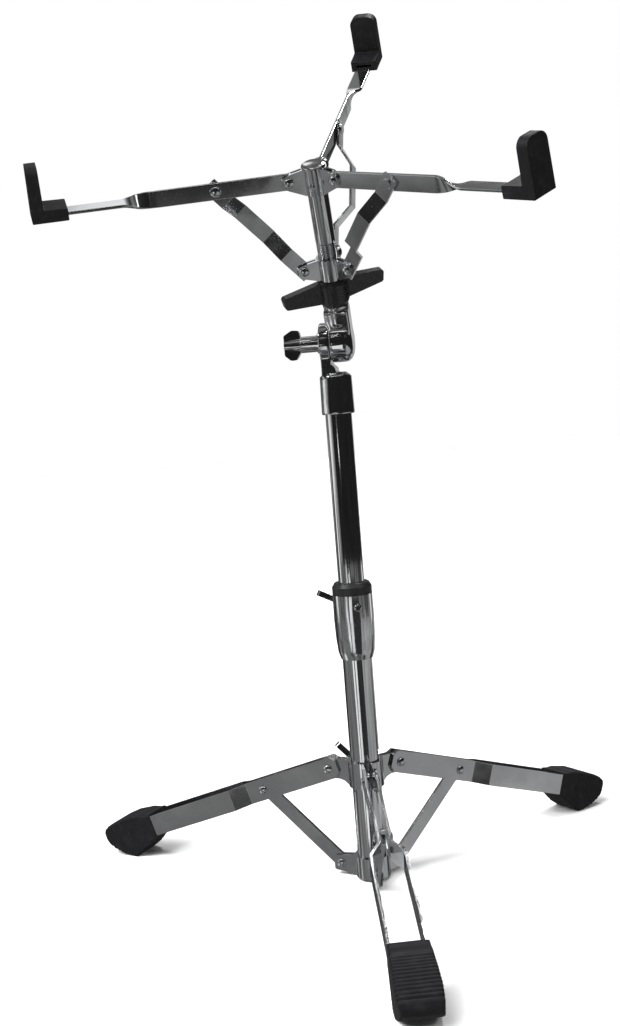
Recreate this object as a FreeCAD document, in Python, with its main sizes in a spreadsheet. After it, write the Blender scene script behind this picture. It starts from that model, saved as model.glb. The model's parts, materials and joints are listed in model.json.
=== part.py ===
import FreeCAD
import Part
import math
import os
from FreeCAD import Placement, Rotation, Vector

doc = FreeCAD.newDocument("stand")
sheet = doc.addObject("Spreadsheet::Sheet", "dims")

# driving sizes in mm and degrees: tubes, leg spread, basket, straps
driving = {
    "lower_tube_od": 25.4, "upper_tube_od": 22.2, "tube_wall": 1.25, "post_od": 15.9,
    "leg_pivot_r": 33.7, "leg_pivot_z": 95.6, "leg_slope": 19.4, "leg_first_turn": -76.0,
    "leg_arm": 70.2, "leg_end": 214.5, "strap_tall": 19.0, "strap_thick": 2.5,
    "foot_pivot_r": 28.7, "foot_pivot_z": 11.0, "brace_tall": 13.0, "brace_thick": 3.0,
    "sleeve_low": 194.6, "sleeve_high": 250.0, "tilt_z": 461.6, "tilt_angle": 30.0,
    "post_shift": 7.3, "arm_first_turn": 82.0, "crown_along": 144.4, "crown_pivot_r": 21.3,
    "slider_along": 70.5, "arm_slope": 7.0, "arm_short": 57.0, "arm_tall": 13.0,
    "twist_from": 103.0, "twist_to": 126.0, "grip_from": 168.0, "grip_to": 198.0,
    "grip_wide": 22.0, "grip_rise": 41.0, "rivet_shank": 5.0, "rivet_head": 7.6,
    "tube_x": 30.75, "tube_y": 35.05,
}
for row, (name, value) in enumerate(driving.items(), start=1):
    sheet.set("A%d" % row, name)
    sheet.set("B%d" % row, str(value))
    sheet.setAlias("B%d" % row, name)
doc.recompute()


def size(name):
    return float(sheet.get(name))


made = []


def plane_of(body, role):
    return [item for item in body.Origin.OriginFeatures if item.Role == role][0]


def new_body(label):
    body = doc.addObject("PartDesign::Body", label)
    body.Label = label
    made.append(body)
    return body


def new_sketch(body, role, offset=0.0):
    sketch = doc.addObject("Sketcher::SketchObject", body.Name + "_sketch")
    body.addObject(sketch)
    sketch.AttachmentSupport = [(plane_of(body, role), "")]
    sketch.MapMode = "FlatFace"
    sketch.AttachmentOffset = Placement(Vector(0, 0, offset), Rotation())
    return sketch


def draw_loop(sketch, points):
    # closed loop of straight lines; each point may carry a corner radius
    corners = [(Vector(p[0], p[1], 0), p[2] if len(p) > 2 else 0.0) for p in points]
    count = len(corners)
    ends = []
    for i in range(count):
        at, radius = corners[i]
        before = (corners[i - 1][0] - at).normalize()
        after = (corners[(i + 1) % count][0] - at).normalize()
        if radius <= 0:
            ends.append((at, None, at))
            continue
        half = math.acos(max(-1.0, min(1.0, before.dot(after)))) / 2
        reach = radius / math.tan(half)
        middle = (before + after).normalize()
        centre = at + middle * (radius / math.sin(half))
        ends.append((at + before * reach, centre - middle * radius, at + after * reach))
    for i in range(count):
        start, mid, stop = ends[i]
        if mid is not None:
            sketch.addGeometry(Part.Arc(start, mid, stop), False)
        following = ends[(i + 1) % count][0]
        if (following - stop).Length > 1e-6:
            sketch.addGeometry(Part.LineSegment(stop, following), False)


def draw_circle(sketch, x, y, radius):
    sketch.addGeometry(Part.Circle(Vector(x, y, 0), Vector(0, 0, 1), radius), False)


def pad(body, sketch, length, middle=True, expression=None, backwards=False):
    feature = doc.addObject("PartDesign::Pad", body.Name + "_pad")
    body.addObject(feature)
    feature.Profile = sketch
    feature.Length = length
    feature.Midplane = middle
    feature.Reversed = backwards
    if expression:
        feature.setExpression("Length", expression)
    return feature


def pocket(body, sketch, length, middle=True):
    feature = doc.addObject("PartDesign::Pocket", body.Name + "_pocket")
    body.addObject(feature)
    feature.Profile = sketch
    feature.Length = length
    feature.Midplane = middle
    return feature


def revolve(body, points, role="XZ_Plane", about="Z_Axis"):
    sketch = new_sketch(body, role)
    draw_loop(sketch, points)
    feature = doc.addObject("PartDesign::Revolution", body.Name + "_turned")
    body.addObject(feature)
    feature.Profile = sketch
    feature.ReferenceAxis = (plane_of(body, about), [""])
    feature.Angle = 360.0
    return feature


def round_pattern(body, features, count=3):
    pattern = doc.addObject("PartDesign::PolarPattern", body.Name + "_round")
    body.addObject(pattern)
    pattern.Originals = features
    pattern.Axis = (plane_of(body, "Z_Axis"), [""])
    pattern.Angle = 360.0
    pattern.Occurrences = count
    body.Tip = pattern
    return pattern


def turn_z(angle):
    return Placement(Vector(0, 0, 0), Rotation(Vector(0, 0, 1), angle))


def shift(x, y, z):
    return Placement(Vector(x, y, z), Rotation())


def lean(angle):
    # dips the local +X end below the horizontal
    return Placement(Vector(0, 0, 0), Rotation(Vector(0, 1, 0), angle))


leg_turns = [size("leg_first_turn") + 120.0 * i for i in range(3)]
arm_turns = [size("arm_first_turn") + 120.0 * i for i in range(3)]
shank = size("rivet_shank") / 2
head = size("rivet_head") / 2
gap = 0.05
lower_r = size("lower_tube_od") / 2
upper_r = size("upper_tube_od") / 2
post_r = size("post_od") / 2
strap = size("strap_thick")
basket_frame = Placement(
    Vector(size("post_shift"), 0, size("tilt_z")),
    Rotation(Vector(1, 0, 0), size("tilt_angle")),
)


def ring_tube(label, outer, inner, low, high, expression=None):
    body = new_body(label)
    sketch = new_sketch(body, "XY_Plane", low)
    draw_circle(sketch, 0, 0, outer)
    draw_circle(sketch, 0, 0, inner)
    pad(body, sketch, high - low, middle=False)
    return body


def rivet(label, reach, place):
    # domed head at both ends, shank along local Y, reach = outer faces of the joint
    body = new_body(label)
    rise = 1.3
    points = [
        (0, -reach - rise), (head * 0.55, -reach - rise), (head, -reach - rise * 0.35),
        (head, -reach), (shank, -reach), (shank, reach), (head, reach),
        (head, reach + rise * 0.35), (head * 0.55, reach + rise), (0, reach + rise),
    ]
    revolve(body, points, "XY_Plane", "Y_Axis")
    body.Placement = place
    return body


def stud(label, inner, outer, place):
    # one domed head with a short shank that ends flush with the inner face
    body = new_body(label)
    side = 1.0 if outer > inner else -1.0
    rise = 1.3 * side
    points = [
        (0, inner), (shank, inner), (shank, outer), (head, outer),
        (head, outer + rise * 0.35), (head * 0.55, outer + rise), (0, outer + rise),
    ]
    revolve(body, points, "XY_Plane", "Y_Axis")
    body.Placement = place
    return body


def eared_hub(label, outer, bore, low, high, ear_points, ear_half, slot_half, slot_from, pin, place):
    # a ring with three pairs of ears; ear outline in the radial plane
    body = new_body(label)
    sketch = new_sketch(body, "XY_Plane", low)
    draw_circle(sketch, 0, 0, outer)
    pad(body, sketch, high - low, middle=False)
    sketch = new_sketch(body, "XZ_Plane")
    draw_loop(sketch, ear_points)
    ear = pad(body, sketch, ear_half * 2)
    sketch = new_sketch(body, "XZ_Plane")
    far = max(p[0] for p in ear_points) + 5
    draw_loop(sketch, [(slot_from, low - 9), (far, low - 9), (far, high + 9), (slot_from, high + 9)])
    slot = pocket(body, sketch, slot_half * 2)
    sketch = new_sketch(body, "XZ_Plane")
    draw_circle(sketch, pin[0], pin[1], shank + pin[2])
    hole = pocket(body, sketch, ear_half * 4)
    round_pattern(body, [ear, slot, hole])
    sketch = new_sketch(body, "XY_Plane", low - 5)
    draw_circle(sketch, 0, 0, bore)
    cut = pocket(body, sketch, (high - low + 10) * 2)
    body.Tip = cut
    body.Placement = place
    return body


# lower stage: tube, the fixed hub at its foot and the clamp sleeve at its top
base_tube = ring_tube("base_tube", lower_r, lower_r - size("tube_wall"), 3.0, 243.0)
low_r = size("foot_pivot_r")
low_z = size("foot_pivot_z")
low_ear = [
    (10, -8.6), (18, -8.6), (low_r + 6.5, -6.5, 2.0), (low_r + 6.5, 6.5, 2.0),
    (18, 7.5), (16, 9.6), (10, 9.6),
]
eared_hub(
    "lower_leg_hub", lower_r + 2.2, lower_r, -8.8, 9.8, low_ear, 3.7, 1.7, lower_r + 3.0,
    (low_r, 0, 0.0), turn_z(leg_turns[0]).multiply(shift(0, 0, low_z)),
)
for i, turn in enumerate(leg_turns, start=1):
    rivet("lower_hub_rivet_%d" % i, 3.7, turn_z(turn).multiply(shift(low_r, 0, low_z)))

sleeve_low = size("sleeve_low")
sleeve_high = size("sleeve_high")
screw_turn = 119.0
sleeve = new_body("height_sleeve")
revolve(sleeve, [
    (lower_r, sleeve_low), (13.8, sleeve_low), (15.6, sleeve_low + 6), (16.7, sleeve_low + 18),
    (17.2, sleeve_low + 34), (17.0, sleeve_high), (14.0, sleeve_high), (14.0, 243.0),
    (lower_r, 243.0),
])
boss = new_sketch(sleeve, "YZ_Plane", 14.6)
draw_circle(boss, 0, 238.0, 6.5)
pad(sleeve, boss, 8.0, middle=False)
bore = new_sketch(sleeve, "YZ_Plane", 13.6)
draw_circle(bore, 0, 238.0, 3.1)
pocket(sleeve, bore, 40.0)
sleeve.Placement = turn_z(screw_turn)
clear = new_sketch(sleeve, "XY_Plane", 243.0)
draw_circle(clear, 0, 0, 14.0)
pocket(sleeve, clear, 30.0)
clear = new_sketch(sleeve, "XY_Plane", 200.0)
draw_circle(clear, 0, 0, lower_r)
pocket(sleeve, clear, 120.0)

face_screw = new_body("sleeve_screw")
revolve(face_screw, [
    (0, 17.15), (3.3, 17.15), (3.3, 17.8), (2.4, 18.7), (0, 18.7),
], "XY_Plane", "Y_Axis")
face_screw.Placement = turn_z(-159.0).multiply(shift(0, 0, 240.0))

bush = new_body("clamp_bush")
revolve(bush, [
    (upper_r + gap, 243.3), (13.9, 243.3), (13.9, 250.15), (16.9, 250.15), (16.9, 256.5, 1.5),
    (14.6, 260.0, 1.0), (upper_r + gap, 260.0),
])


def wing_screw(label, reach, tall, neck_from, neck_to, stem_from, angle, place):
    # axis along local X: threaded stem inwards, round neck, flat wings at the outer end
    body = new_body(label)
    revolve(body, [
        (stem_from, 0), (stem_from, 3.0), (neck_from, 3.0), (neck_from, 5.0),
        (neck_to, 5.0), (neck_to, 0),
    ], "XZ_Plane", "X_Axis")
    wings = new_sketch(body, "XZ_Plane")
    draw_loop(wings, [
        (neck_to - 7, -4), (neck_to + 1, -reach, 3.0), (neck_to + 8, -reach, 3.0), (neck_to + 4, 0),
        (neck_to + 8, reach, 3.0), (neck_to + 1, reach, 3.0), (neck_to - 7, 4),
    ])
    pad(body, wings, tall)
    spin = Placement(Vector(0, 0, 0), Rotation(Vector(1, 0, 0), angle))
    body.Placement = place.multiply(spin)
    return body


wing_screw(
    "clamp_wing_screw", 22.0, 5.0, 22.7, 30.0, 14.0, -62.0,
    turn_z(screw_turn).multiply(shift(0, 0, 238.0)),
)

# leg slider with its wing screw
hub_r = lower_r + gap
leg_r = size("leg_pivot_r")
leg_z = size("leg_pivot_z")
hub_ear = [
    (10, -13.0), (16.4, -13.0), (19.5, -10.2), (24, -8.8), (leg_r + 8.4, -8.8, 6.0),
    (leg_r + 8.4, 8.8, 6.0), (24, 9.2), (16, 9.4), (10, 9.4),
]
eared_hub(
    "upper_leg_hub", lower_r + 2.6, hub_r, -13.1, 9.5, hub_ear, 3.25, 1.25, lower_r + 3.4,
    (leg_r, 0, 0.0), turn_z(leg_turns[0]).multiply(shift(0, 0, leg_z)),
)
for i, turn in enumerate(leg_turns, start=1):
    rivet("upper_hub_rivet_%d" % i, 6.2, turn_z(turn).multiply(shift(leg_r, 0, leg_z)))
hub_nut = new_body("leg_hub_boss")
revolve(hub_nut, [
    (15.35, 3.05), (15.35, 6.5), (21.0, 6.5), (21.0, 3.05),
], "XZ_Plane", "X_Axis")
leg_screw_turn = 112.0
hub_nut.Placement = turn_z(leg_screw_turn).multiply(shift(0, 0, leg_z - 2.0))
wing_screw(
    "leg_wing_screw", 25.0, 5.0, 21.3, 29.0, 15.4, -42.0,
    turn_z(leg_screw_turn).multiply(shift(0, 0, leg_z - 2.0)),
)

# legs: one strap bent into a narrow fork, then a wide U that ends in the rubber foot
near = 4.75
wide = 13.25
arm = size("leg_arm")
leg_end = size("leg_end")


def strap_path(offset, grow):
    # half outline of the leg fork at a distance from the strap's middle line
    return [
        (-9.4, near + offset), (arm + 16, near + offset), (arm + 30, wide + offset),
        (leg_end - wide - strap / 2, wide + offset),
    ]


def arc_points(centre_x, radius, steps=16):
    points = []
    for k in range(steps + 1):
        a = math.pi / 2 - math.pi * k / steps
        points.append((centre_x + radius * math.cos(a), radius * math.sin(a)))
    return points


bend_x = leg_end - wide - strap / 2
for i, turn in enumerate(leg_turns, start=1):
    place = turn_z(turn).multiply(shift(leg_r, 0, leg_z)).multiply(lean(size("leg_slope")))
    leg = new_body("leg_%d" % i)
    sketch = new_sketch(leg, "XY_Plane")
    outer = [(x, y) for x, y in strap_path(strap / 2, 0)][:3]
    inner = [(x, y) for x, y in strap_path(-strap / 2, 0)][:3]
    round_out = arc_points(bend_x, wide + strap / 2)
    round_in = arc_points(bend_x, wide - strap / 2)
    loop = outer + round_out + [(x, -y) for x, y in reversed(outer)]
    loop += [(x, -y) for x, y in inner] + list(reversed(round_in)) + list(reversed(inner))
    draw_loop(sketch, loop)
    pad(leg, sketch, size("strap_tall"), expression="dims.strap_tall")
    sketch = new_sketch(leg, "XZ_Plane")
    draw_circle(sketch, 0, 0, shank + gap)
    draw_circle(sketch, arm, 0, shank)
    pocket(leg, sketch, 60.0)
    sketch = new_sketch(leg, "XZ_Plane")
    draw_loop(sketch, [(-12, 9.6), (-12, 5.0), (-9.4, 5.0), (-5.0, 9.5), (-5.0, 9.6)])
    draw_loop(sketch, [(-12, -9.6), (-12, -5.0), (-9.4, -5.0), (-5.0, -9.5), (-5.0, -9.6)])
    pocket(leg, sketch, 60.0)
    leg.Placement = place
    for side, letter in ((1, "a"), (-1, "b")):
        stud(
            "leg_stud_%d%s" % (i, letter), side * (near - strap / 2), side * (near + strap / 2),
            place.multiply(shift(arm, 0, 0)),
        )
    foot = new_body("leg_foot_%d" % i)
    sketch = new_sketch(foot, "XZ_Plane")
    draw_loop(sketch, [
        (193.3, 13.2, 2.0), (222.0, 15.2, 30.0), (250.5, 12.6, 6.0), (255.0, 4.0, 8.0),
        (248.0, -10.5, 8.0), (236.7, -18.0, 2.0), (222.6, -23.0, 2.0), (213.0, -20.0, 6.0),
        (193.3, -12.2, 2.0),
    ])
    pad(foot, sketch, 24.0)
    band = new_sketch(foot, "XY_Plane")
    slot = [(180, wide + strap)] + arc_points(bend_x, wide + strap / 2)[0:0]
    slot_outer = arc_points(bend_x, wide + strap / 2)
    slot_inner = arc_points(bend_x, wide - strap / 2)
    slot = [(185, wide + strap / 2)] + slot_outer + [(185, -wide - strap / 2)]
    slot += [(185, -wide + strap / 2)] + list(reversed(slot_inner)) + [(185, wide - strap / 2)]
    draw_loop(band, slot)
    pocket(foot, band, size("strap_tall"))
    foot.Placement = place

brace_run = leg_r + arm * math.cos(math.radians(size("leg_slope"))) - low_r
brace_rise = leg_z - arm * math.sin(math.radians(size("leg_slope"))) - low_z
brace_length = math.hypot(brace_run, brace_rise)
brace_angle = math.degrees(math.atan2(brace_rise, brace_run))
for i, turn in enumerate(leg_turns, start=1):
    brace = new_body("leg_brace_%d" % i)
    half = size("brace_tall") / 2
    sketch = new_sketch(brace, "XZ_Plane")
    draw_loop(sketch, [
        (-half, -half, half - 0.05), (brace_length + half, -half, half - 0.05),
        (brace_length + half, half, half - 0.05), (-half, half, half - 0.05),
    ])
    draw_circle(sketch, 0, 0, shank + gap)
    draw_circle(sketch, brace_length, 0, shank)
    pad(brace, sketch, size("brace_thick"), expression="dims.brace_thick")
    brace.Placement = turn_z(turn).multiply(shift(low_r, 0, low_z)).multiply(lean(-brace_angle))

# upper tube and the two castings of the tilter
ring_tube("upper_tube", upper_r, upper_r - size("tube_wall"), 110.0, 430.0)
tilt_z = size("tilt_z")
lower_cast = new_body("tilter_lower")
revolve(lower_cast, [
    (0, 402.0), (13.9, 402.0), (13.4, 433.7, 1.0), (9.0, 437.0), (0, 437.0),
])
sketch = new_sketch(lower_cast, "YZ_Plane", -4.1)
draw_loop(sketch, [
    (-11.5, 433.0), (11.5, 433.0), (11.0, 440.5), (-11.0, 440.5),
])
pad(lower_cast, sketch, 11.8)
sketch = new_sketch(lower_cast, "XZ_Plane")
draw_loop(sketch, [
    (-10.0, 439.0), (1.8, 439.0), (1.8, 440.5), (-1.9, 444.0), (-1.9, 456.0), (-10.0, 456.0),
])
pad(lower_cast, sketch, 22.0)
sketch = new_sketch(lower_cast, "YZ_Plane", -10.2)
draw_circle(sketch, 0, tilt_z, 16.6)
pad(lower_cast, sketch, 8.3, middle=False)
sketch = new_sketch(lower_cast, "YZ_Plane", -6.0)
draw_circle(sketch, 0, tilt_z, 4.1)
pocket(lower_cast, sketch, 60.0)
sketch = new_sketch(lower_cast, "XY_Plane", 415.0)
draw_circle(sketch, 0, 0, upper_r)
pocket(lower_cast, sketch, 30.0)

post_x = size("post_shift")
upper_cast = new_body("tilter_upper")
sketch = new_sketch(upper_cast, "YZ_Plane", -9.0)
draw_circle(sketch, 0, 0, 16.8)
pad(upper_cast, sketch, 13.0, middle=False)
revolve(upper_cast, [
    (3.9, 0), (3.9, 16.8), (6.0, 16.2), (8.6, 13.6), (10.2, 9.5), (10.6, 0),
], "XZ_Plane", "X_Axis")
sketch = new_sketch(upper_cast, "XZ_Plane")
draw_loop(sketch, [
    (-9.0, 6.0), (10.0, 6.0), (10.2, 18.0), (10.2, 33.0), (-10.2, 33.0), (-10.2, 20.0), (-9.0, 17.5),
])
neck = pad(upper_cast, sketch, 19.0)
revolve(upper_cast, [
    (0, 20.0), (10.3, 20.0), (10.3, 33.4), (0, 33.4),
])
sketch = new_sketch(upper_cast, "XY_Plane", 30.0)
draw_circle(sketch, 0, 0, 4.0)
pocket(upper_cast, sketch, 6.8)
sketch = new_sketch(upper_cast, "YZ_Plane", -6.0)
draw_circle(sketch, 0, 0, 4.05)
pocket(upper_cast, sketch, 22.0)
upper_cast.Placement = basket_frame

bolt = new_body("tilter_wing_bolt")
revolve(bolt, [
    (-41.0, 0), (-41.0, 4.5), (-27.0, 6.0), (-26.6, 6.8), (-12.8, 6.8), (-12.8, 8.2),
    (-10.3, 8.2), (-10.3, 4.0), (4.8, 4.0), (4.8, 0),
], "XZ_Plane", "X_Axis")
sketch = new_sketch(bolt, "XZ_Plane")
draw_loop(sketch, [
    (-41.0, -8.0, 2.0), (-36.0, -12.5, 3.0), (-31.0, -12.0, 3.0), (-26.7, -5.5), (-26.7, 5.5),
    (-28.0, 12.0, 2.5), (-34.0, 12.5, 3.0), (-41.0, 8.5, 2.0),
])
pad(bolt, sketch, 6.0)
bolt.Placement = shift(0, 0, tilt_z)

# basket: post, crown, slider, arms, braces and grips in the tilted frame
crown_d = size("crown_along")
crown_r = size("crown_pivot_r")
slide_d = size("slider_along")
post = new_body("basket_post")
revolve(post, [
    (0, 26.8), (3.9, 26.8), (3.9, 33.4), (post_r, 33.4), (post_r, crown_d + 7.5),
    (0, crown_d + 7.5),
])
post.Placement = basket_frame
collar = ring_tube("post_collar", 10.6, post_r, 33.5, 36.4)
collar.Placement = basket_frame
crown_ear = [
    (6, -13.5), (9.4, -13.5), (crown_r + 1.5, -6.2), (crown_r + 5.4, -3.5, 2.0),
    (crown_r + 5.4, 4.2, 3.0), (crown_r - 2.0, 6.3), (9.6, 7.4), (6, 7.4),
]
crown_place = basket_frame.multiply(turn_z(arm_turns[0])).multiply(shift(0, 0, crown_d))
eared_hub(
    "basket_crown", post_r + 1.8, post_r, -13.6, 7.5, crown_ear, 3.2, 1.35, post_r + 2.4,
    (crown_r, 0, 0.0), crown_place,
)
cap = new_body("crown_cap")
revolve(cap, [
    (0, crown_d + 7.6), (9.8, crown_d + 7.6), (9.8, crown_d + 8.8), (7.5, crown_d + 10.2),
    (0, crown_d + 10.8),
])
cap.Placement = basket_frame
set_screw = new_body("crown_screw")
revolve(set_screw, [
    (0, -9.8), (2.4, -9.8), (2.4, -10.6), (1.6, -11.2), (0, -11.2),
], "XY_Plane", "Y_Axis")
set_screw.Placement = basket_frame.multiply(turn_z(-12.0)).multiply(shift(0, 0, crown_d - 6.0))
for i, turn in enumerate(arm_turns, start=1):
    spot = basket_frame.multiply(turn_z(turn)).multiply(shift(crown_r, 0, crown_d))
    rivet("crown_rivet_%d" % i, 3.2, spot)

slider_ear = [
    (6, -11.5), (9.6, -11.5), (crown_r + 1.0, -6.4), (crown_r + 5.2, -4.0, 2.0),
    (crown_r + 5.2, 4.4, 3.0), (crown_r - 3.0, 5.6), (9.8, 6.4), (6, 6.4),
]
slider_place = basket_frame.multiply(turn_z(arm_turns[0])).multiply(shift(0, 0, slide_d))
eared_hub(
    "basket_slider", post_r + 2.0, post_r + gap, -11.6, 6.5, slider_ear, 3.1, 1.05,
    post_r + 2.6, (crown_r, 0, gap), slider_place,
)
nut = new_body("basket_wing_nut")
revolve(nut, [
    (post_r + gap, 37.0), (11.2, 37.0), (12.4, 40.0), (12.4, 55.0), (11.0, 58.6),
    (post_r + gap, 58.6),
])
sketch = new_sketch(nut, "XZ_Plane")
for side in (1, -1):
    draw_loop(sketch, [
        (side * 9.0, 39.0), (side * 42.5, 43.5, 2.5), (side * 44.0, 53.5, 2.5), (side * 9.0, 57.6),
    ])
pad(nut, sketch, 7.0)
sketch = new_sketch(nut, "XY_Plane", 45.0)
draw_circle(sketch, 0, 0, post_r + gap)
pocket(nut, sketch, 60.0)
nut.Placement = basket_frame.multiply(turn_z(27.0))

short = size("arm_short")
slope = size("arm_slope")
tall = size("arm_tall")


def twisted_arm():
    # strap on edge, a quarter twist, then a flat blade that enters the grip
    wires = []
    steps = 10
    start = size("twist_from")
    stop = size("twist_to")
    for k in range(steps + 1):
        share = k / steps
        angle = math.radians(90.0 * share)
        x = start + (stop - start) * share
        corners = []
        for sy, sz in ((-1, -1), (1, -1), (1, 1), (-1, 1)):
            y = sy * strap / 2
            z = sz * tall / 2
            corners.append(Vector(
                x, y * math.cos(angle) - z * math.sin(angle),
                y * math.sin(angle) + z * math.cos(angle),
            ))
        wires.append(Part.makePolygon(corners + corners[:1]))
    twist = Part.makeLoft(wires, True, True)
    edge = Part.makeBox(start + 6.0, strap, tall, Vector(-6.0, -strap / 2, -tall / 2))
    blade_end = size("grip_from") + 16.0
    blade = Part.makeBox(blade_end - stop, tall, strap, Vector(stop, -tall / 2, -strap / 2))
    solid = edge.fuse([twist, blade])
    hole = Part.makeCylinder(shank + gap, 20, Vector(0, -10, 0), Vector(0, 1, 0))
    solid = solid.cut(hole)
    nose = [e for e in solid.Edges if abs(e.CenterOfMass.x + 6.0) < 0.01 and abs(e.CenterOfMass.z) > 6]
    return solid.makeFillet(4.0, nose)


arm_shape = twisted_arm()
for i, turn in enumerate(arm_turns, start=1):
    place = basket_frame.multiply(turn_z(turn)).multiply(shift(crown_r, 0, crown_d))
    place = place.multiply(lean(-slope))
    strap_arm = doc.addObject("Part::Feature", "arm_%d" % i)
    strap_arm.Shape = arm_shape
    strap_arm.Placement = place
    made.append(strap_arm)
    grip = new_body("arm_grip_%d" % i)
    x0 = size("grip_from")
    x1 = size("grip_to")
    sketch = new_sketch(grip, "XZ_Plane")
    draw_loop(sketch, [
        (x0, -6.0, 1.0), (x1, -6.0, 1.0), (x1 - 1.0, size("grip_rise"), 0.8),
        (x1 - 9.6, size("grip_rise"), 0.8), (x1 - 9.8, 6.0, 1.0), (x0, 5.4, 1.0),
    ])
    pad(grip, sketch, size("grip_wide"), expression="dims.grip_wide")
    sketch = new_sketch(grip, "YZ_Plane", x0 + 16.0)
    draw_loop(sketch, [
        (-tall / 2, -strap / 2), (tall / 2, -strap / 2), (tall / 2, strap / 2), (-tall / 2, strap / 2),
    ])
    slot = doc.addObject("PartDesign::Pocket", grip.Name + "_socket")
    grip.addObject(slot)
    slot.Profile = sketch
    slot.Length = 20.0
    slot.Midplane = False
    # the top corners of the upright are cut back to a round end
    top = size("grip_rise")
    sketch = new_sketch(grip, "YZ_Plane", x1 - 5.0)
    for side in (1, -1):
        curve = []
        for k in range(9):
            turned = math.radians(90.0 * k / 8)
            curve.append((side * (3.0 + 8.0 * math.cos(turned)), top - 8.0 + 8.0 * math.sin(turned)))
        corner = [(side * 12.0, top - 8.0)] + curve + [(side * 3.0, top + 1.0), (side * 12.0, top + 1.0)]
        draw_loop(sketch, corner)
    pocket(grip, sketch, 30.0)
    grip.Placement = place

run = crown_r + short * math.cos(math.radians(slope)) - crown_r
rise = crown_d + short * math.sin(math.radians(slope)) - slide_d
length = math.hypot(run, rise)
angle = math.degrees(math.atan2(rise, run))
thin = 2.0
flat = -(strap / 2 + 0.3 + thin / 2)
for i, turn in enumerate(arm_turns, start=1):
    place = basket_frame.multiply(turn_z(turn)).multiply(shift(crown_r, 0, slide_d))
    place = place.multiply(lean(-angle))
    line = [(-6.3, 0), (21, 0), (36, -13.6), (68, -13.6), (84.5, flat), (length + 6.3, flat)]
    band = new_body("basket_brace_%d" % i)
    sketch = new_sketch(band, "XY_Plane")
    loop = [(x, y - thin / 2) for x, y in line]
    loop += [(x, y + thin / 2) for x, y in reversed(line)]
    draw_loop(sketch, loop)
    pad(band, sketch, 12.6)
    sketch = new_sketch(band, "XZ_Plane")
    draw_circle(sketch, 0, 0, shank)
    pocket(band, sketch, 60.0)
    sketch = new_sketch(band, "XZ_Plane", thin / 2 - flat)
    draw_circle(sketch, length, 0, head)
    pad(band, sketch, 1.2, middle=False)
    band.Placement = place
    rivet("slider_rivet_%d" % i, 3.15, place)
    # the arm carries the domed head of the upper brace rivet
    dome = new_body("arm_stud_%d" % i)
    revolve(dome, [
        (0, strap / 2), (head + 0.3, strap / 2), (head + 0.3, strap / 2 + 0.6),
        (head * 0.6, strap / 2 + 1.7), (0, strap / 2 + 1.9),
    ], "XY_Plane", "Y_Axis")
    spot = basket_frame.multiply(turn_z(turn)).multiply(shift(crown_r, 0, crown_d))
    dome.Placement = spot.multiply(lean(-slope)).multiply(shift(short, 0, 0))

# the tube stands off the origin, which is the middle of the footprint box
stand_at = shift(size("tube_x"), size("tube_y"), 0)
for item in made:
    item.Placement = stand_at.multiply(item.Placement)
doc.recompute()
os.makedirs("parts", exist_ok=True)
for item in doc.Objects:
    if "Invalid" in item.State or "Error" in item.State:
        raise RuntimeError("%s %s" % (item.Name, item.State))
for item in made:
    shape = item.Shape
    if shape.isNull() or not shape.isValid() or len(shape.Solids) != 1:
        raise RuntimeError("%s %s solids" % (item.Label, len(shape.Solids)))
    shape.exportStep("parts/%s.step" % item.Label)
whole = FreeCAD.BoundBox()
for item in made:
    whole.add(item.Shape.BoundBox)
print("%d parts, x %.2f..%.2f y %.2f..%.2f z %.2f..%.2f" % (
    len(made), whole.XMin, whole.XMax, whole.YMin, whole.YMax, whole.ZMin, whole.ZMax,
))
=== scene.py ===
import json
from math import cos, pi, radians, sin

import bmesh
import bpy
from mathutils import Matrix, Vector


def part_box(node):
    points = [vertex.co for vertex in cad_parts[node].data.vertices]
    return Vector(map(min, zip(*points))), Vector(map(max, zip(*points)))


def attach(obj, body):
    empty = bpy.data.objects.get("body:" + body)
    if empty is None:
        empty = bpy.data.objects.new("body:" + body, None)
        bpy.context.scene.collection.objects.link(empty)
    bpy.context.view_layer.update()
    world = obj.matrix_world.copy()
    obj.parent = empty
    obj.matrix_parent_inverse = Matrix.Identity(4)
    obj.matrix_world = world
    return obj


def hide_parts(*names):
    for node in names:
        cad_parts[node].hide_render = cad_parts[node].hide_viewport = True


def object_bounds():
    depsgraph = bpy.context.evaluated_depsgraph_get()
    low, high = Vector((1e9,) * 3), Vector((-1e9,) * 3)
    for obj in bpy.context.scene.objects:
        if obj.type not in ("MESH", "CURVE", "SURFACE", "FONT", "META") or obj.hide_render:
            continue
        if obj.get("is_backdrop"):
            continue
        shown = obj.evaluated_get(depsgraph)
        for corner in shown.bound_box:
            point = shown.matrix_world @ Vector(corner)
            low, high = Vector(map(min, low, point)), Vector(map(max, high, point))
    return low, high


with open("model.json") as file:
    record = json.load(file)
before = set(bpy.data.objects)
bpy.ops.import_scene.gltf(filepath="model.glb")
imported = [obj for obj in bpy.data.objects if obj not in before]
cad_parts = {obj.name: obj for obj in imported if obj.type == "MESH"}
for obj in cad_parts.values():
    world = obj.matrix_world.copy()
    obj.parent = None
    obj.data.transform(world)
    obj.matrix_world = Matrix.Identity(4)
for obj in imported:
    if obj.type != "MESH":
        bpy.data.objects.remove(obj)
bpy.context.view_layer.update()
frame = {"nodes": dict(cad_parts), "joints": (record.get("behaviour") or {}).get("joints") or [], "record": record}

mm = 0.001
joint = {row["name"]: row for row in frame["joints"]}
bodyOfNode = {node: body for body, nodes in frame["record"]["behaviour"]["bodies"].items() for node in nodes}
slotOfNode = {row["node"]: row["material_slot"] for row in frame["record"]["subparts"]}
up = Vector((0.0, 0.0, 1.0))
postAxis = Vector(joint["basket_slide"]["axis"]).normalized()
tiltSpot = Vector(joint["tilt"]["pos_m"])
tubeSpot = Vector((tiltSpot.x, tiltSpot.y, 0.0))


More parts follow.
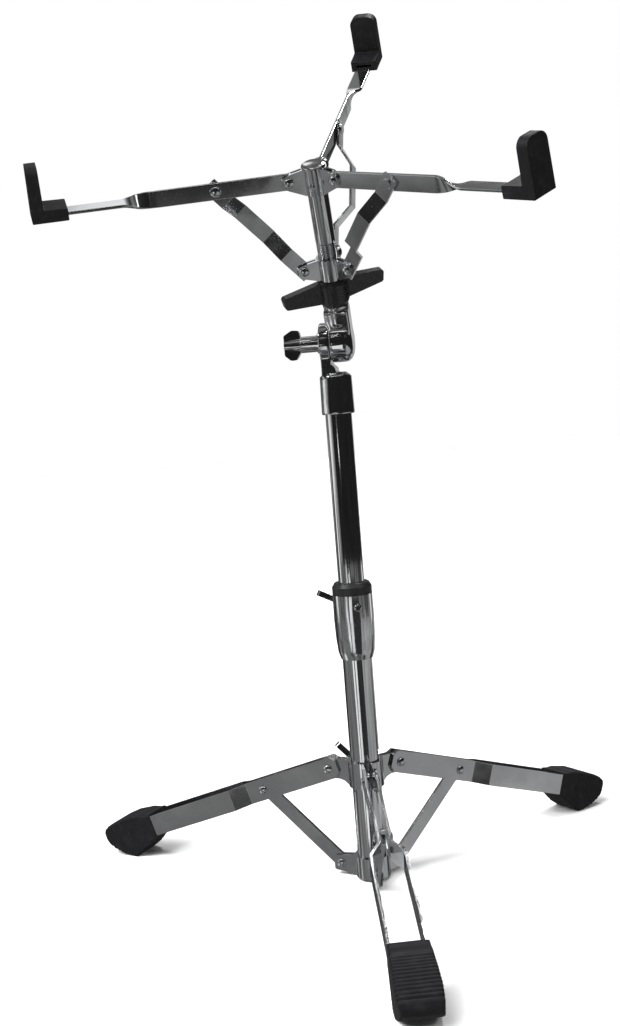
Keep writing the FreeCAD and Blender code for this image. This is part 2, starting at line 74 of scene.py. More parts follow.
# nodes: one wrapper for a socket, one builder for any node

class Wire:  # a socket that can stand in a sum
    def __init__(self, graph, socket):
        self.graph, self.socket = graph, socket

    def sum(self, operation, first, second):
        return self.graph.node(self.graph.mathKind, {"operation": operation}, {0: first, 1: second})

    def __add__(self, other):
        return self.sum("ADD", self, other)

    def __radd__(self, other):
        return self.sum("ADD", other, self)

    def __sub__(self, other):
        return self.sum("SUBTRACT", self, other)

    def __rsub__(self, other):
        return self.sum("SUBTRACT", other, self)

    def __mul__(self, other):
        return self.sum("MULTIPLY", self, other)

    def __rmul__(self, other):
        return self.sum("MULTIPLY", other, self)

    def __pow__(self, other):
        return self.sum("POWER", self, other)

    def __gt__(self, other):
        return self.sum("GREATER_THAN", self, other)

    def __lt__(self, other):
        return self.sum("LESS_THAN", self, other)


class Graph:
    mathKind = "ShaderNodeMath"

    def __init__(self, tree):
        self.tree = tree

    def node(self, kind, settings=None, inputs=None, output=0):
        made = self.tree.nodes.new(kind)
        for key, value in (settings or {}).items():
            if key == "stops":
                ramp = made.color_ramp
                while len(ramp.elements) < len(value):
                    ramp.elements.new(0.5)
                for element, (place, shade) in zip(ramp.elements, value):
                    element.position = place
                    element.color = (shade, shade, shade, 1.0)
            else:
                setattr(made, key, value)
        for key, value in (inputs or {}).items():
            if isinstance(value, Wire):
                self.tree.links.new(value.socket, made.inputs[key])
            else:
                made.inputs[key].default_value = value
        return Wire(self, made.outputs[output]) if made.outputs else made


class Paint(Graph):
    def __init__(self, name):
        self.material = bpy.data.materials.new(name)
        self.material.use_nodes = True
        super().__init__(self.material.node_tree)
        self.tree.nodes.clear()
        self.place = self.node("ShaderNodeTexCoord", {}, {}, "Object")

    def noise(self, scale, detail=2.0, rough=0.5, place=None):
        return self.node("ShaderNodeTexNoise", {}, {
            "Vector": place or self.place, "Scale": scale, "Detail": detail, "Roughness": rough,
        })

    def stretch(self, scale):
        return self.node("ShaderNodeMapping", {}, {"Vector": self.place, "Scale": scale})

    def specks(self, scale, size):
        cell = self.node("ShaderNodeTexVoronoi", {}, {"Vector": self.place, "Scale": scale}, "Distance")
        return cell < size

    def ramp(self, value, stops):
        return self.node("ShaderNodeValToRGB", {"stops": stops}, {"Fac": value})

    def blend(self, share, first, second):
        mix = self.node("ShaderNodeMix", {"data_type": "RGBA"}, {}, 2)
        made = mix.socket.node
        for key, value in ((0, share), (6, first), (7, second)):
            if isinstance(value, Wire):
                self.tree.links.new(value.socket, made.inputs[key])
            else:
                made.inputs[key].default_value = value if key == 0 else (*value, 1.0)
        return mix

    def bump(self, height, distance, strength=1.0, below=None):
        inputs = {"Height": height, "Distance": distance, "Strength": strength}
        if below:
            inputs["Normal"] = below
        return self.node("ShaderNodeBump", {}, inputs)

    def close(self, settings):
        shader = self.node("ShaderNodeBsdfPrincipled", {}, settings)
        self.node("ShaderNodeOutputMaterial", {}, {"Surface": shader})
        return self.material


# finishes

chromeLooks = {
    "chromeTube": {
        "bright": (0.86, 0.87, 0.88), "dull": (0.70, 0.71, 0.73), "rough": 0.045, "roughSpread": 0.07,
        "cloudScale": 22.0, "grainScale": 260.0, "waveScale": (30.0, 30.0, 4.0), "waveDepth": 0.00016,
        "pitScale": 420.0, "pitSize": 0.055,
    },
    "chromePressing": {
        "bright": (0.84, 0.85, 0.86), "dull": (0.66, 0.67, 0.69), "rough": 0.07, "roughSpread": 0.10,
        "cloudScale": 38.0, "grainScale": 420.0, "waveScale": (24.0, 24.0, 24.0), "waveDepth": 0.0005,
        "pitScale": 480.0, "pitSize": 0.07,
    },
    "chromeCasting": {
        "bright": (0.86, 0.87, 0.88), "dull": (0.64, 0.65, 0.67), "rough": 0.05, "roughSpread": 0.08,
        "cloudScale": 55.0, "grainScale": 500.0, "waveScale": (85.0, 85.0, 85.0), "waveDepth": 0.0004,
        "pitScale": 520.0, "pitSize": 0.08,
    },
}


def chromePaint(name, look):
    paint = Paint(name)
    cloud = paint.ramp(paint.noise(look["cloudScale"], 3.0), [(0.38, 0.0), (0.68, 1.0)])
    grain = paint.noise(look["grainScale"], 2.0)
    pits = paint.specks(look["pitScale"], look["pitSize"])
    hairNoise = paint.noise(90.0, 3.0, 0.6, paint.stretch((1.0, 1.0, 14.0)))
    hairs = paint.ramp(hairNoise, [(0.55, 0.0), (0.75, 1.0)])
    colour = paint.blend(cloud * 0.55 + pits * 0.4, look["bright"], look["dull"])
    rough = cloud * look["roughSpread"] + hairs * 0.035 + grain * 0.02 + pits * 0.2 + look["rough"]
    wave = paint.noise(1.0, 1.5, 0.5, paint.stretch(look["waveScale"]))
    normal = paint.bump(wave, look["waveDepth"])
    normal = paint.bump(grain - pits * 0.8, 0.000004, 0.7, normal)
    return paint.close({"Base Color": colour, "Metallic": 1.0, "Roughness": rough, "Normal": normal})


def rubberPaint(name):
    paint = Paint(name)
    cloud = paint.noise(45.0, 4.0, 0.6)
    dust = paint.ramp(paint.noise(130.0, 5.0, 0.7), [(0.50, 0.0), (0.80, 1.0)])
    grain = paint.noise(1400.0, 2.0)
    scuffNoise = paint.noise(240.0, 3.0, 0.6, paint.stretch((1.0, 3.0, 1.0)))
    scuff = paint.ramp(scuffNoise, [(0.60, 0.0), (0.78, 1.0)])
    colour = paint.blend(dust * 0.35 + scuff * 0.25, (0.007, 0.007, 0.008), (0.030, 0.031, 0.034))
    rough = cloud * 0.18 + scuff * 0.12 + 0.46
    normal = paint.bump(cloud, 0.0004)
    normal = paint.bump(grain + scuff * 0.6, 0.00006, 0.8, normal)
    return paint.close({
        "Base Color": colour, "Roughness": rough, "Normal": normal, "Specular IOR Level": 0.22,
    })


def plasticPaint(name, low, high, rough, grainScale, grainDepth):
    paint = Paint(name)
    cloud = paint.noise(60.0, 3.0)
    grain = paint.noise(grainScale, 2.0)
    wear = paint.ramp(paint.noise(190.0, 4.0, 0.65), [(0.58, 0.0), (0.80, 1.0)])
    colour = paint.blend(wear * 0.5 + cloud * 0.2, low, high)
    roughness = cloud * 0.12 + wear * 0.15 + rough
    normal = paint.bump(grain, grainDepth, 0.8)
    return paint.close({"Base Color": colour, "Roughness": roughness, "Normal": normal})


finish = {name: chromePaint(name, look) for name, look in chromeLooks.items()}
finish["blackRubber"] = rubberPaint("blackRubber")
plasticLooks = {  # darkest, lightest, roughness, grain scale, grain depth
    "blackPlastic": ((0.006, 0.006, 0.007), (0.018, 0.019, 0.020), 0.20, 900.0, 0.00002),
    "blackNylon": ((0.008, 0.008, 0.009), (0.03, 0.03, 0.032), 0.30, 700.0, 0.00006),
}
for name, look in plasticLooks.items():
    finish[name] = plasticPaint(name, *look)
finishOfSlot = {
    "chrome_tube": "chromeTube", "chrome_pressing": "chromePressing", "chrome_casting": "chromeCasting",
    "black_rubber": "blackRubber", "black_plastic": "blackPlastic", "black_nylon": "blackNylon",
}
print("finishes made", len(finish))


# mesh helpers

def cleanCopy(node):
    mesh = bmesh.new()
    mesh.from_mesh(frame["nodes"][node].data)
    bmesh.ops.remove_doubles(mesh, verts=mesh.verts, dist=2e-6)
    bmesh.ops.dissolve_limit(mesh, angle_limit=radians(0.3), verts=mesh.verts, edges=mesh.edges)
    return mesh


def softenEdges(mesh, width, segments=2, steepest=30.0):
    edges = [
        edge for edge in mesh.edges
        if len(edge.link_faces) == 2 and edge.calc_face_angle(0.0) > radians(steepest)
    ]
    bmesh.ops.bevel(
        mesh, geom=edges, offset=width, offset_type="OFFSET", segments=segments, profile=0.5,
        affect="EDGES", clamp_overlap=True,
    )


def objectFrom(mesh, name, sharp=48.0, weighted=True):
    data = bpy.data.meshes.new(name)
    mesh.to_mesh(data)
    mesh.free()
    data.polygons.foreach_set("use_smooth", [True] * len(data.polygons))
    data.set_sharp_from_angle(angle=radians(sharp))
    piece = bpy.data.objects.new(name, data)
    bpy.context.scene.collection.objects.link(piece)
    if weighted:
        modifier = piece.modifiers.new("evenNormals", "WEIGHTED_NORMAL")
        modifier.keep_sharp = True
        settle(piece)
    return piece


def settle(piece):
    bpy.context.view_layer.update()
    ready = piece.evaluated_get(bpy.context.evaluated_depsgraph_get())
    data = bpy.data.meshes.new_from_object(ready)
    piece.modifiers.clear()
    piece.data = data
    data.name = piece.name
    return piece


def place(piece, paintName, body, slotName, *nodes):
    piece.data.materials.clear()
    piece.data.materials.append(finish[paintName])
    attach(piece, body)
    if nodes:
        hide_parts(*nodes)
    return piece


def standFor(piece, *nodes):
    slotName = slotOfNode[nodes[0]]
    return place(piece, finishOfSlot[slotName], bodyOfNode[nodes[0]], slotName, *nodes)


def hingeFrame(name, axis, dip):
    origin = Vector(joint[name]["pos_m"])
    side = Vector(joint[name]["axis"]).normalized()
    outward = side.cross(axis)
    along = outward * cos(dip) - axis * sin(dip)
    rise = along.cross(side)
    made = Matrix((along, side, rise)).transposed().to_4x4()
    made.translation = origin
    return made


def axisFrame(origin, axis, hint):
    axis = axis.normalized()
    across = (hint - axis * hint.dot(axis)).normalized()
    made = Matrix((across, axis.cross(across), axis)).transposed().to_4x4()
    made.translation = origin
    return made


# sections and lofts

def roundedRing(halfWide, halfTall, radius, perCorner=4):
    radius = min(radius, halfWide * 0.98, halfTall * 0.98)
    ring = []
    for k, (sy, sz) in enumerate(((1, 1), (-1, 1), (-1, -1), (1, -1))):
        for step in range(perCorner):
            angle = pi / 2 * (k + step / (perCorner - 1))
            ring.append((
                sy * (halfWide - radius) + radius * cos(angle), sz * (halfTall - radius) + radius * sin(angle),
            ))
    return ring


def loft(rings, matrix):
    mesh = bmesh.new()
    rows = [[mesh.verts.new(matrix @ (Vector(point) * mm)) for point in ring] for ring in rings]
    for first, second in zip(rows, rows[1:]):
        for k in range(len(first)):
            following = (k + 1) % len(first)
            mesh.faces.new((first[k], first[following], second[following], second[k]))
    mesh.faces.new(list(reversed(rows[0])))
    mesh.faces.new(rows[-1])
    bmesh.ops.recalc_face_normals(mesh, faces=mesh.faces)
    return mesh


def lathe(outline, matrix, sides=48):  # outline of (radius, height); closed at both ends on the axis
    rings = []
    for radius, height in outline:
        rings.append([
            (radius * cos(2 * pi * k / sides), radius * sin(2 * pi * k / sides), height) for k in range(sides)
        ])
    return loft(rings, matrix)


def between(x, points):
    for (ax, ay), (bx, by) in zip(points, points[1:]):
        if x <= bx:
            return ay + (by - ay) * max(0.0, x - ax) / (bx - ax)
    return points[-1][1]


def easy(share):
    return share * share * (3 - 2 * share)


# nodes that keep their CAD outline and get rolled edges

softEdges = {
    "base_tube": 0.35, "lower_leg_hub": 0.45, "height_sleeve": 0.6, "sleeve_screw": 0.3, "clamp_bush": 0.6,
    "clamp_wing_screw": 1.2, "upper_tube": 0.35, "upper_leg_hub": 0.5,
    "leg_wing_screw": 1.2, "tilter_wing_bolt": 1.3, "post_collar": 0.6, "basket_crown": 0.45,
    "crown_cap": 0.4, "crown_screw": 0.25, "basket_slider": 0.4, "basket_wing_nut": 1.1,
}
for i in (1, 2, 3):
    softEdges.update({"leg_%d" % i: 0.45, "leg_brace_%d" % i: 0.5, "basket_brace_%d" % i: 0.4})


def pieceName(node):
    return "".join(part.title() if n else part for n, part in enumerate(node.split("_")))


for node, width in softEdges.items():
    mesh = cleanCopy(node)
    softenEdges(mesh, width * mm, 3 if width > 1.0 else 2)
    standFor(objectFrom(mesh, pieceName(node)), node)
print("edges rolled on", len(softEdges))


# arms: strap on edge, quarter twist, flat blade

arms = {
    "thick": 2.5, "tall": 13.0, "round": 0.7, "slope": radians(7.0),
    "nose": -6.0, "noseReach": 6.4, "noseTall": 0.35, "noseSteps": 5, "plainSteps": 6,
    "twistFrom": 101.0, "twistTo": 129.0, "twistSteps": 22, "waist": 0.92, "end": 184.0, "bladeSteps": 4,
}
twistLength = arms["twistTo"] - arms["twistFrom"]


def armStations():  # (distance out, share of the full height)
    for k in range(arms["noseSteps"] + 1):
        angle = pi / 2 * k / arms["noseSteps"]
        tall = arms["noseTall"]
        yield arms["nose"] + arms["noseReach"] * (1 - cos(angle)), tall + (1 - tall) * sin(angle)
    for k in range(1, arms["plainSteps"]):
        yield arms["twistFrom"] * k / arms["plainSteps"], 1.0
    for k in range(arms["twistSteps"] + 1):
        share = k / arms["twistSteps"]
        yield arms["twistFrom"] + twistLength * share, 1.0 - (1 - arms["waist"]) * sin(pi * share)
    for k in range(1, arms["bladeSteps"] + 1):
        yield arms["twistTo"] + (arms["end"] - arms["twistTo"]) * k / arms["bladeSteps"], 1.0


for i in (1, 2, 3):
    local = hingeFrame("arm_%d_fold" % i, postAxis, -arms["slope"])
    rings = []
    for x, share in armStations():
        turn = pi / 2 * easy(min(1.0, max(0.0, (x - arms["twistFrom"]) / twistLength)))
        ring = roundedRing(arms["thick"] / 2, arms["tall"] / 2 * share, arms["round"])
        rings.append([(x, y * cos(turn) - z * sin(turn), y * sin(turn) + z * cos(turn)) for y, z in ring])
    standFor(objectFrom(loft(rings, local), "arm%d" % i), "arm_%d" % i)

# grips: moulded rubber boots

grips = {
    "reach": [(168.0, 168.0), (188.4, 185.4), (198.0, 194.6)],
    "rise": [(-6.0, -3.4), (6.0, 6.0), (41.0, 37.0)],
    "edge": 1.0,
}
for i in (1, 2, 3):
    local = hingeFrame("arm_%d_fold" % i, postAxis, -arms["slope"])
    back = local.inverted()
    mesh = cleanCopy("arm_grip_%d" % i)
    for vert in mesh.verts:
        spot = (back @ vert.co) / mm
        reach, rise = between(spot.x, grips["reach"]), between(spot.z, grips["rise"])
        vert.co = local @ (Vector((reach, spot.y, rise)) * mm)
    softenEdges(mesh, grips["edge"] * mm, 3)
    standFor(objectFrom(mesh, "armGrip%d" % i), "arm_grip_%d" % i)
print("arms and grips made")

# feet: boots that widen outwards, with ribs round the tread

feet = {
    "slope": radians(19.4),
    "top": [
        (193.3, 10.8), (199.0, 11.6), (205.0, 13.6), (222.0, 15.2), (236.0, 14.0),
        (243.0, 12.4), (247.5, 10.2), (249.8, 7.6), (250.6, 4.6),
    ],
    "bottom": [
        (193.3, -10.8), (199.0, -12.4), (213.0, -20.0), (222.6, -22.8), (235.0, -16.6),
        (244.0, -9.0), (248.2, -3.6), (250.0, 0.4), (250.6, 3.4),
    ],
    "half": [(193.3, 15.2), (206.0, 15.6), (236.0, 16.6), (247.0, 16.0), (249.6, 14.8), (250.6, 13.4)],
    "neck": 193.3, "tip": 250.6, "ribFrom": 209.0, "ribTo": 246.2, "ribPitch": 3.1, "ribDeep": 0.8,
    "sideRib": 0.6, "soleBelow": 0.0012, "corner": 1.9, "cornerSteps": 5, "steps": 150, "sharp": 70.0,
}
for i in (1, 2, 3):
    local = hingeFrame("leg_%d_fold" % i, up, feet["slope"])
    rings = []
    for k in range(feet["steps"] + 1):
        x = feet["neck"] + (feet["tip"] - feet["neck"]) * k / feet["steps"]
        groove = 0.0
        if feet["ribFrom"] < x < feet["ribTo"]:
            wave = 0.5 - 0.5 * cos(2 * pi * (x - feet["ribFrom"]) / feet["ribPitch"])
            groove = feet["ribDeep"] * wave ** 2
        high, low, half = (between(x, feet[key]) for key in ("top", "bottom", "half"))
        sole = (local @ (Vector((x, 0, low)) * mm)).z < feet["soleBelow"]
        high -= groove
        low += 0.0 if sole else groove
        ring = roundedRing(half - groove * feet["sideRib"], (high - low) / 2, feet["corner"], feet["cornerSteps"])
        rings.append([(x, y, z + (high + low) / 2) for y, z in ring])
    mesh = loft(rings, local)
    for vert in mesh.verts:
        vert.co.z = max(vert.co.z, 0.0)
    standFor(objectFrom(mesh, "legFoot%d" % i, feet["sharp"]), "leg_foot_%d" % i)
print("feet made")

# castings: soft copies of the two tilter halves

castings = {"voxel": 0.7, "rounds": {"tilter_lower": 8, "tilter_upper": 42}, "strength": 0.5}
for node in ("tilter_lower", "tilter_upper"):
    piece = objectFrom(cleanCopy(node), pieceName(node), sharp=180.0, weighted=False)
    melt = piece.modifiers.new("melt", "REMESH")
    melt.mode = "VOXEL"
    melt.voxel_size = castings["voxel"] * mm
    relax = piece.modifiers.new("relax", "SMOOTH")
    relax.factor = castings["strength"]
    relax.iterations = castings["rounds"][node]
    settle(piece)
    piece.data.polygons.foreach_set("use_smooth", [True] * len(piece.data.polygons))
    standFor(piece, node)
print("castings softened")

# post: smooth tube above, threaded stem below

post = {
    "radius": 7.95, "core": 7.05, "stemFrom": 33.4, "smoothFrom": 91.0, "top": 151.9,
    "pitch": 1.75, "ridge": 0.62, "ridgeLift": 0.2, "runOut": 1.0, "onAxis": 0.01,
}
postFoot = tiltSpot + Vector((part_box("basket_post")[0].x + post["radius"] * mm - tiltSpot.x, 0, 0))
postFrame = axisFrame(postFoot, postAxis, Vector((1, 0, 0)))


def growTree(name, inputs):
    tree = bpy.data.node_groups.new(name, "GeometryNodeTree")
    tree.is_modifier = True
    tree.interface.new_socket("Geometry", in_out="INPUT", socket_type="NodeSocketGeometry")
    for label, kind, value in inputs:
        made = tree.interface.new_socket(label, in_out="INPUT", socket_type=kind)
        if value is not None:
            made.default_value = value
    tree.interface.new_socket("Geometry", in_out="OUTPUT", socket_type="NodeSocketGeometry")
    graph = Graph(tree)
    graph.entry = tree.nodes.new("NodeGroupInput")
    return graph


def given(graph, label):
    return Wire(graph, graph.entry.outputs[label])


def finishTree(graph, geometry):
    whole = graph.node("GeometryNodeRealizeInstances", {}, {"Geometry": geometry})
    painted = graph.node("GeometryNodeSetMaterial", {}, {
        "Geometry": whole, "Material": given(graph, "paint"),
    })
    graph.node("NodeGroupOutput", {}, {"Geometry": painted})
    return graph.tree


def grown(tree, name, data, values):
    piece = bpy.data.objects.new(name, data)
    bpy.context.scene.collection.objects.link(piece)
    modifier = piece.modifiers.new("grow", "NODES")
    modifier.node_group = tree
    idOf = {item.name: item.identifier for item in tree.interface.items_tree if item.in_out == "INPUT"}
    for label, value in values.items():
        modifier[idOf[label]] = value
    return settle(piece)


spiral = growTree("threadRidge", [
    ("radius", "NodeSocketFloat", 0.0073), ("pitch", "NodeSocketFloat", 0.0017),
    ("turns", "NodeSocketFloat", 10.0), ("ridge", "NodeSocketFloat", 0.0006), ("paint", "NodeSocketMaterial", None),
])
line = spiral.node("GeometryNodeCurveSpiral", {}, {
    "Resolution": 40, "Rotations": given(spiral, "turns"), "Start Radius": given(spiral, "radius"),
    "End Radius": given(spiral, "radius"), "Height": given(spiral, "pitch") * given(spiral, "turns"),
})
section = spiral.node("GeometryNodeCurvePrimitiveCircle", {}, {
    "Resolution": 6, "Radius": given(spiral, "ridge"),
})
wire = spiral.node("GeometryNodeCurveToMesh", {}, {
    "Curve": line, "Profile Curve": section, "Fill Caps": True,
})
smooth = spiral.node("GeometryNodeSetShadeSmooth", {}, {"Geometry": wire})
threadTree = finishTree(spiral, smooth)
turns = (post["smoothFrom"] - post["stemFrom"] - 2 * post["runOut"]) / post["pitch"]
thread = grown(threadTree, "postThread", bpy.data.meshes.new("postThread"), {
    "radius": (post["core"] + post["ridgeLift"]) * mm, "pitch": post["pitch"] * mm, "turns": turns,
    "ridge": post["ridge"] * mm, "paint": finish["chromeTube"],
})
thread.data.transform(postFrame @ Matrix.Translation((0, 0, (post["stemFrom"] + post["runOut"]) * mm)))
place(thread, "chromeTube", "basket_stem", "chrome_tube")
outline = [
    (post["onAxis"], post["stemFrom"]), (post["core"], post["stemFrom"]), (post["core"], post["smoothFrom"] - 1.0),
    (post["radius"] - 0.4, post["smoothFrom"] - 0.6), (post["radius"], post["smoothFrom"]),
    (post["radius"], post["top"] - 0.5), (post["radius"] - 0.5, post["top"]),
    (post["onAxis"], post["top"]),
]
standFor(objectFrom(lathe(outline, postFrame, 64), "basketPost"), "basket_post")

boss = {"radius": 6.5, "foot": 12.8, "top": 21.0, "bevel": 0.6, "rimIn": 0.5}
bossAxis = Vector(joint["leg_screw_turn"]["axis"])
bossFrame = axisFrame(Vector(joint["leg_screw_turn"]["pos_m"]), bossAxis, up)
outline = [
    (post["onAxis"], boss["foot"]), (boss["radius"], boss["foot"]), (boss["radius"], boss["top"] - boss["bevel"]),
    (boss["radius"] - boss["rimIn"], boss["top"]), (post["onAxis"], boss["top"]),
]
standFor(objectFrom(lathe(outline, bossFrame), "legHubBoss"), "leg_hub_boss")
print("post and thread made")

# rivets: domed heads with a rolled skirt, grown on points

rivets = {
    "skirt": 0.55, "head": 3.9, "rise": 2.3, "studHead": 4.3, "studRise": 2.6, "sliderReach": 3.15,
    "legStudAt": 70.2, "legStudReach": 6.0, "armStudAt": 57.0, "armStudReach": 1.25, "sharp": 60.0,
}
heads = growTree("rivetHeads", [
    ("head", "NodeSocketFloat", 0.0038), ("rise", "NodeSocketFloat", 0.0013),
    ("skirt", "NodeSocketFloat", 0.0005), ("paint", "NodeSocketMaterial", None),
])
ball = heads.node("GeometryNodeMeshUVSphere", {}, {"Segments": 28, "Rings": 18, "Radius": 1.0})
size = heads.node("ShaderNodeCombineXYZ", {}, {
    0: given(heads, "head"), 1: given(heads, "head"), 2: given(heads, "rise"),
})
dome = heads.node("GeometryNodeTransform", {}, {"Geometry": ball, "Scale": size})
drum = heads.node("GeometryNodeMeshCylinder", {"fill_type": "NGON"}, {
    "Vertices": 28, "Radius": given(heads, "head") * 1.03, "Depth": given(heads, "skirt") * 2.0,
})
both = heads.tree.nodes.new("GeometryNodeJoinGeometry")
heads.tree.links.new(dome.socket, both.inputs[0])
heads.tree.links.new(drum.socket, both.inputs[0])
facing = heads.node("GeometryNodeInputNamedAttribute", {"data_type": "FLOAT_VECTOR"}, {"Name": "facing"})
turned = heads.node("FunctionNodeAlignRotationToVector", {"axis": "Z"}, {"Vector": facing})
spread = heads.node("GeometryNodeInstanceOnPoints", {}, {
    "Points": given(heads, "Geometry"), "Instance": Wire(heads, both.outputs[0]), "Rotation": turned,
})
softShade = heads.node("GeometryNodeSetShadeSmooth", {}, {"Geometry": spread})
headTree = finishTree(heads, softShade)


def rivetHeads(name, body, spots, head, rise, *nodes):
    data = bpy.data.meshes.new(name)
    data.from_pydata([spot for spot, _ in spots], [], [])
    facing = data.attributes.new("facing", "FLOAT_VECTOR", "POINT")
    facing.data.foreach_set("vector", [part for _, way in spots for part in way])
    piece = grown(headTree, name, data, {
        "head": head * mm, "rise": rise * mm, "skirt": rivets["skirt"] * mm,
        "paint": finish["chromePressing"],
    })
    piece.data.set_sharp_from_angle(angle=radians(rivets["sharp"]))
    return place(piece, "chromePressing", body, "chrome_pressing", *nodes)


def bothSides(name, reach):
    spot, side = Vector(joint[name]["pos_m"]), Vector(joint[name]["axis"]).normalized()
    return [(spot + side * reach * mm, side), (spot - side * reach * mm, -side)]


rows = {
    "lowerHub": ("base", "leg_brace_%d_fold", 3.7, "lower_hub_rivet_%d"),
    "upperHub": ("leg_slider", "leg_%d_fold", 6.2, "upper_hub_rivet_%d"),
    "crown": ("basket_stem", "arm_%d_fold", 3.2, "crown_rivet_%d"),
}
for label, (body, hinge, reach, node) in rows.items():
    spots = [entry for i in (1, 2, 3) for entry in bothSides(hinge % i, reach)]
    rivetHeads(label + "Rivets", body, spots, rivets["head"], rivets["rise"], *[node % i for i in (1, 2, 3)])


def onStrap(local, distance):  # a spot on the strap's middle plane and the way its side faces
    side = (local.to_3x3() @ Vector((0, 1, 0))).normalized()
    return local @ (Vector((distance, 0, 0)) * mm), side


for i in (1, 2, 3):
    rivetHeads(
        "sliderRivet%d" % i, "basket_brace_%d_body" % i,
        bothSides("basket_brace_%d_fold" % i, rivets["sliderReach"]),
        rivets["head"], rivets["rise"], "slider_rivet_%d" % i,
    )
    middle, side = onStrap(hingeFrame("leg_%d_fold" % i, up, feet["slope"]), rivets["legStudAt"])
    reach = side * rivets["legStudReach"] * mm
    rivetHeads(
        "legStuds%d" % i, "leg_%d_body" % i, [(middle + reach, side), (middle - reach, -side)],
        rivets["head"], rivets["rise"], "leg_stud_%da" % i, "leg_stud_%db" % i,
    )
    middle, side = onStrap(hingeFrame("arm_%d_fold" % i, postAxis, -arms["slope"]), rivets["armStudAt"])
    rivetHeads(
        "armStud%d" % i, "arm_%d_body" % i, [(middle + side * rivets["armStudReach"] * mm, side)],
        rivets["studHead"], rivets["studRise"], "arm_stud_%d" % i,
    )
print("rivets set")

for node, thing in frame["nodes"].items():
    if not thing.hide_render:
        print("plain node left", node)
        thing.data.materials.clear()
        thing.data.materials.append(finish[finishOfSlot[slotOfNode[node]]])

# stage: floor, backdrop, cards, lights

studio = {"worldGrey": 0.16, "domeRadius": 9.0, "floorHalf": 6.0, "floorGrey": 0.92}
scene = bpy.context.scene
scene.view_settings.view_transform = "Standard"


def plainPaint(name, colour, emission=0.0, uneven=False):
    paint = Paint(name)
    if emission:
        tone = (*colour, 1.0)
        if uneven:
            driftNoise = paint.noise(4.5, 1.0, 0.4, paint.stretch((1.0, 1.0, 2.6)))
            drift = paint.ramp(driftNoise, [(0.32, 0.62), (0.70, 1.0)])
            tone = paint.blend(drift, (0.0, 0.0, 0.0), colour)
        glow = paint.node("ShaderNodeEmission", {}, {"Color": tone, "Strength": emission})
        paint.node("ShaderNodeOutputMaterial", {}, {"Surface": glow})
        return paint.material
    mottle = paint.noise(3.0, 2.0)
    tone = paint.blend(mottle * 0.1, colour, tuple(c * 0.97 for c in colour))
    return paint.close({"Base Color": tone, "Roughness": 0.9, "Specular IOR Level": 0.0})


def stageSheet(name, corners, material, seenBy=()):
    data = bpy.data.meshes.new(name)
    data.from_pydata(corners, [], [tuple(range(len(corners)))])
    sheet = bpy.data.objects.new(name, data)
    scene.collection.objects.link(sheet)
    data.materials.append(material)
    for ray in ("camera", "diffuse", "glossy", "transmission", "shadow"):
        setattr(sheet, "visible_" + ray, ray in seenBy)
    sheet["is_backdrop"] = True


def stageShell(name, mesh, material, hiddenFrom):
    data = bpy.data.meshes.new(name)
    mesh.to_mesh(data)
    mesh.free()
    data.materials.append(material)
    shell = bpy.data.objects.new(name, data)
    scene.collection.objects.link(shell)
    for ray in hiddenFrom:
        setattr(shell, "visible_" + ray, False)
    shell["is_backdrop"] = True


half = studio["floorHalf"]
stageSheet(
    "floor", [(-half, -half, 0.0), (half, -half, 0.0), (half, half, 0.0), (-half, half, 0.0)],
    plainPaint("paleFloor", (studio["floorGrey"],) * 3), ("camera", "diffuse", "shadow"),
)
ball = bmesh.new()
bmesh.ops.create_icosphere(ball, subdivisions=3, radius=studio["domeRadius"])
stageShell(
    "backdrop", ball, plainPaint("whiteBackdrop", (1.0, 1.0, 1.0), 1.0),
    ("diffuse", "glossy", "transmission", "shadow"),
)

world = bpy.data.worlds.new("room")
world.use_nodes = True
world.node_tree.nodes["Background"].inputs["Color"].default_value = (*[studio["worldGrey"]] * 3, 1.0)
scene.world = world

camera = {
    "eye": (0.19089, -1.00114, 0.42948), "heading": 10.445, "pitch": -5.91, "roll": -4.58,
    "lens": 43.86, "sensor": 36.0, "near": 0.01, "far": 100.0,
}
lookFrom = Vector(camera["eye"])
cameraTurn = radians(camera["heading"])


curtains = {"lift": 1.2, "degreesPerSheet": 6}


def curtain(name, fromTurn, toTurn, radius, low, high, grey):
    # upright strip round the stand; turns are degrees to the right of the camera's side
    material = plainPaint(name + "Tone", (1.0, 1.0, 1.0), grey * curtains["lift"], True)
    steps = max(2, int(abs(toTurn - fromTurn) / curtains["degreesPerSheet"]))
    for k in range(steps):
        ends = []
        for share in (k / steps, (k + 1) / steps):
            angle = radians(-90.0 + fromTurn + (toTurn - fromTurn) * share) + cameraTurn
            ends.append((tubeSpot.x + radius * cos(angle), tubeSpot.y + radius * sin(angle)))
        (ax, ay), (bx, by) = ends
        corners = [(ax, ay, low), (bx, by, low), (bx, by, high), (ax, ay, high)]
        stageSheet("%s%d" % (name, k), corners, material, ("glossy",))


room = {
    "radius": 2.6, "patch": 0.95,
    "stops": [(0.38, 0.012), (0.47, 0.10), (0.53, 0.17), (0.60, 0.20), (0.66, 0.95)],
}
roomPaint = Paint("roomTone")
patches = roomPaint.ramp(roomPaint.noise(room["patch"], 1.5, 0.45), room["stops"])
roomGlow = roomPaint.node("ShaderNodeEmission", {}, {"Color": patches, "Strength": 1.0})
roomPaint.node("ShaderNodeOutputMaterial", {}, {"Surface": roomGlow})
shell = bmesh.new()
bmesh.ops.create_uvsphere(shell, u_segments=48, v_segments=24, radius=room["radius"])
stageShell(
    "room", shell, roomPaint.material, ("camera", "diffuse", "transmission", "volume_scatter", "shadow"),
)

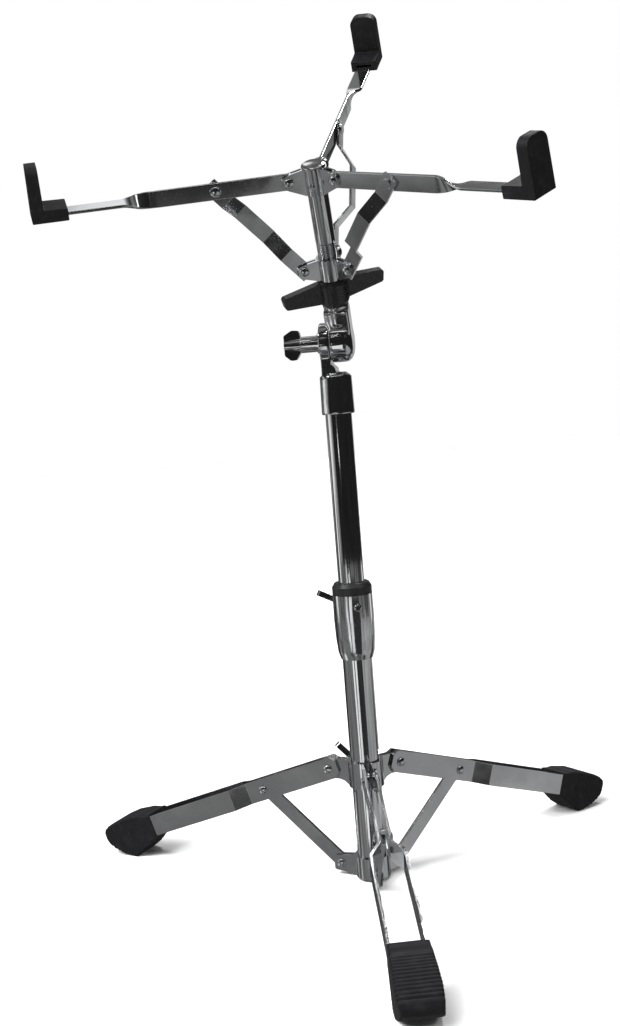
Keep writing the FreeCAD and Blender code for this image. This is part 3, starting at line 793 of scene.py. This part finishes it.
cards = {  # from turn, to turn, radius, low, high, tone
    "darkFront": (-64.0, 140.0, 1.0, 0.13, 1.7, 0.013),
    "leftPale": (-78.0, -42.0, 1.05, -0.8, 0.02, 0.17),
    "brightLow": (-24.0, -10.0, 1.02, -0.35, 0.11, 0.9),
    "paleSide": (34.0, 104.0, 1.05, -0.7, 0.05, 0.32),
    "darkLow": (-8.0, 30.0, 1.04, -0.5, 0.10, 0.03),
    "paleBack": (146.0, 172.0, 1.6, -0.6, 1.2, 0.45),
    "sparkStrip": (-28.0, -23.0, 0.98, 0.30, 0.345, 1.2),
    "topSpark": (-45.0, 40.0, 1.0, 1.72, 2.05, 2.4),
    "sideSpark": (-84.0, -76.0, 0.9, 0.15, 1.2, 0.45),
}
for name, row in cards.items():
    curtain(name, *row)


def softLight(name, spot, target, size, power):
    lamp = bpy.data.lights.new(name, "AREA")
    lamp.shape = "RECTANGLE"
    lamp.size, lamp.size_y = size
    lamp.energy = power
    thing = bpy.data.objects.new(name, lamp)
    thing.location = spot
    thing.rotation_euler = (Vector(target) - Vector(spot)).to_track_quat("-Z", "Y").to_euler()
    scene.collection.objects.link(thing)


sun = bpy.data.lights.new("skyPanel", "SUN")
sun.energy = 4.4
sun.angle = radians(50.0)
skyPanel = bpy.data.objects.new("skyPanel", sun)
skyPanel.rotation_euler = Vector((-0.45, -0.35, 0.82)).to_track_quat("Z", "Y").to_euler()
skyPanel.visible_glossy = False
scene.collection.objects.link(skyPanel)
softLight("keyBox", (-1.3, -1.1, 1.9), (0, 0, 0.4), (0.55, 0.55), 26.0)
softLight("topBox", (0.5, 0.9, 2.3), (0, 0, 0.3), (0.7, 0.5), 22.0)
softLight("fillBox", (1.5, -0.9, 1.5), (0, 0, 0.4), (0.25, 0.45), 8.0)
softLight("sparkBox", (-0.35, -1.5, 1.35), (0, 0, 0.5), (0.14, 0.14), 3.0)

lens = bpy.data.cameras.new("camera")
lens.lens = camera["lens"]
lens.sensor_width = camera["sensor"]
lens.clip_start = camera["near"]
lens.clip_end = camera["far"]
cameraObject = bpy.data.objects.new("camera", lens)
cameraObject.matrix_world = (
    Matrix.Translation(lookFrom) @ Matrix.Rotation(cameraTurn, 4, "Z")
    @ Matrix.Rotation(radians(90.0 + camera["pitch"]), 4, "X")
    @ Matrix.Rotation(radians(camera["roll"]), 4, "Z")
)
scene.collection.objects.link(cameraObject)
scene.camera = cameraObject
print("stage set")

low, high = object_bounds()
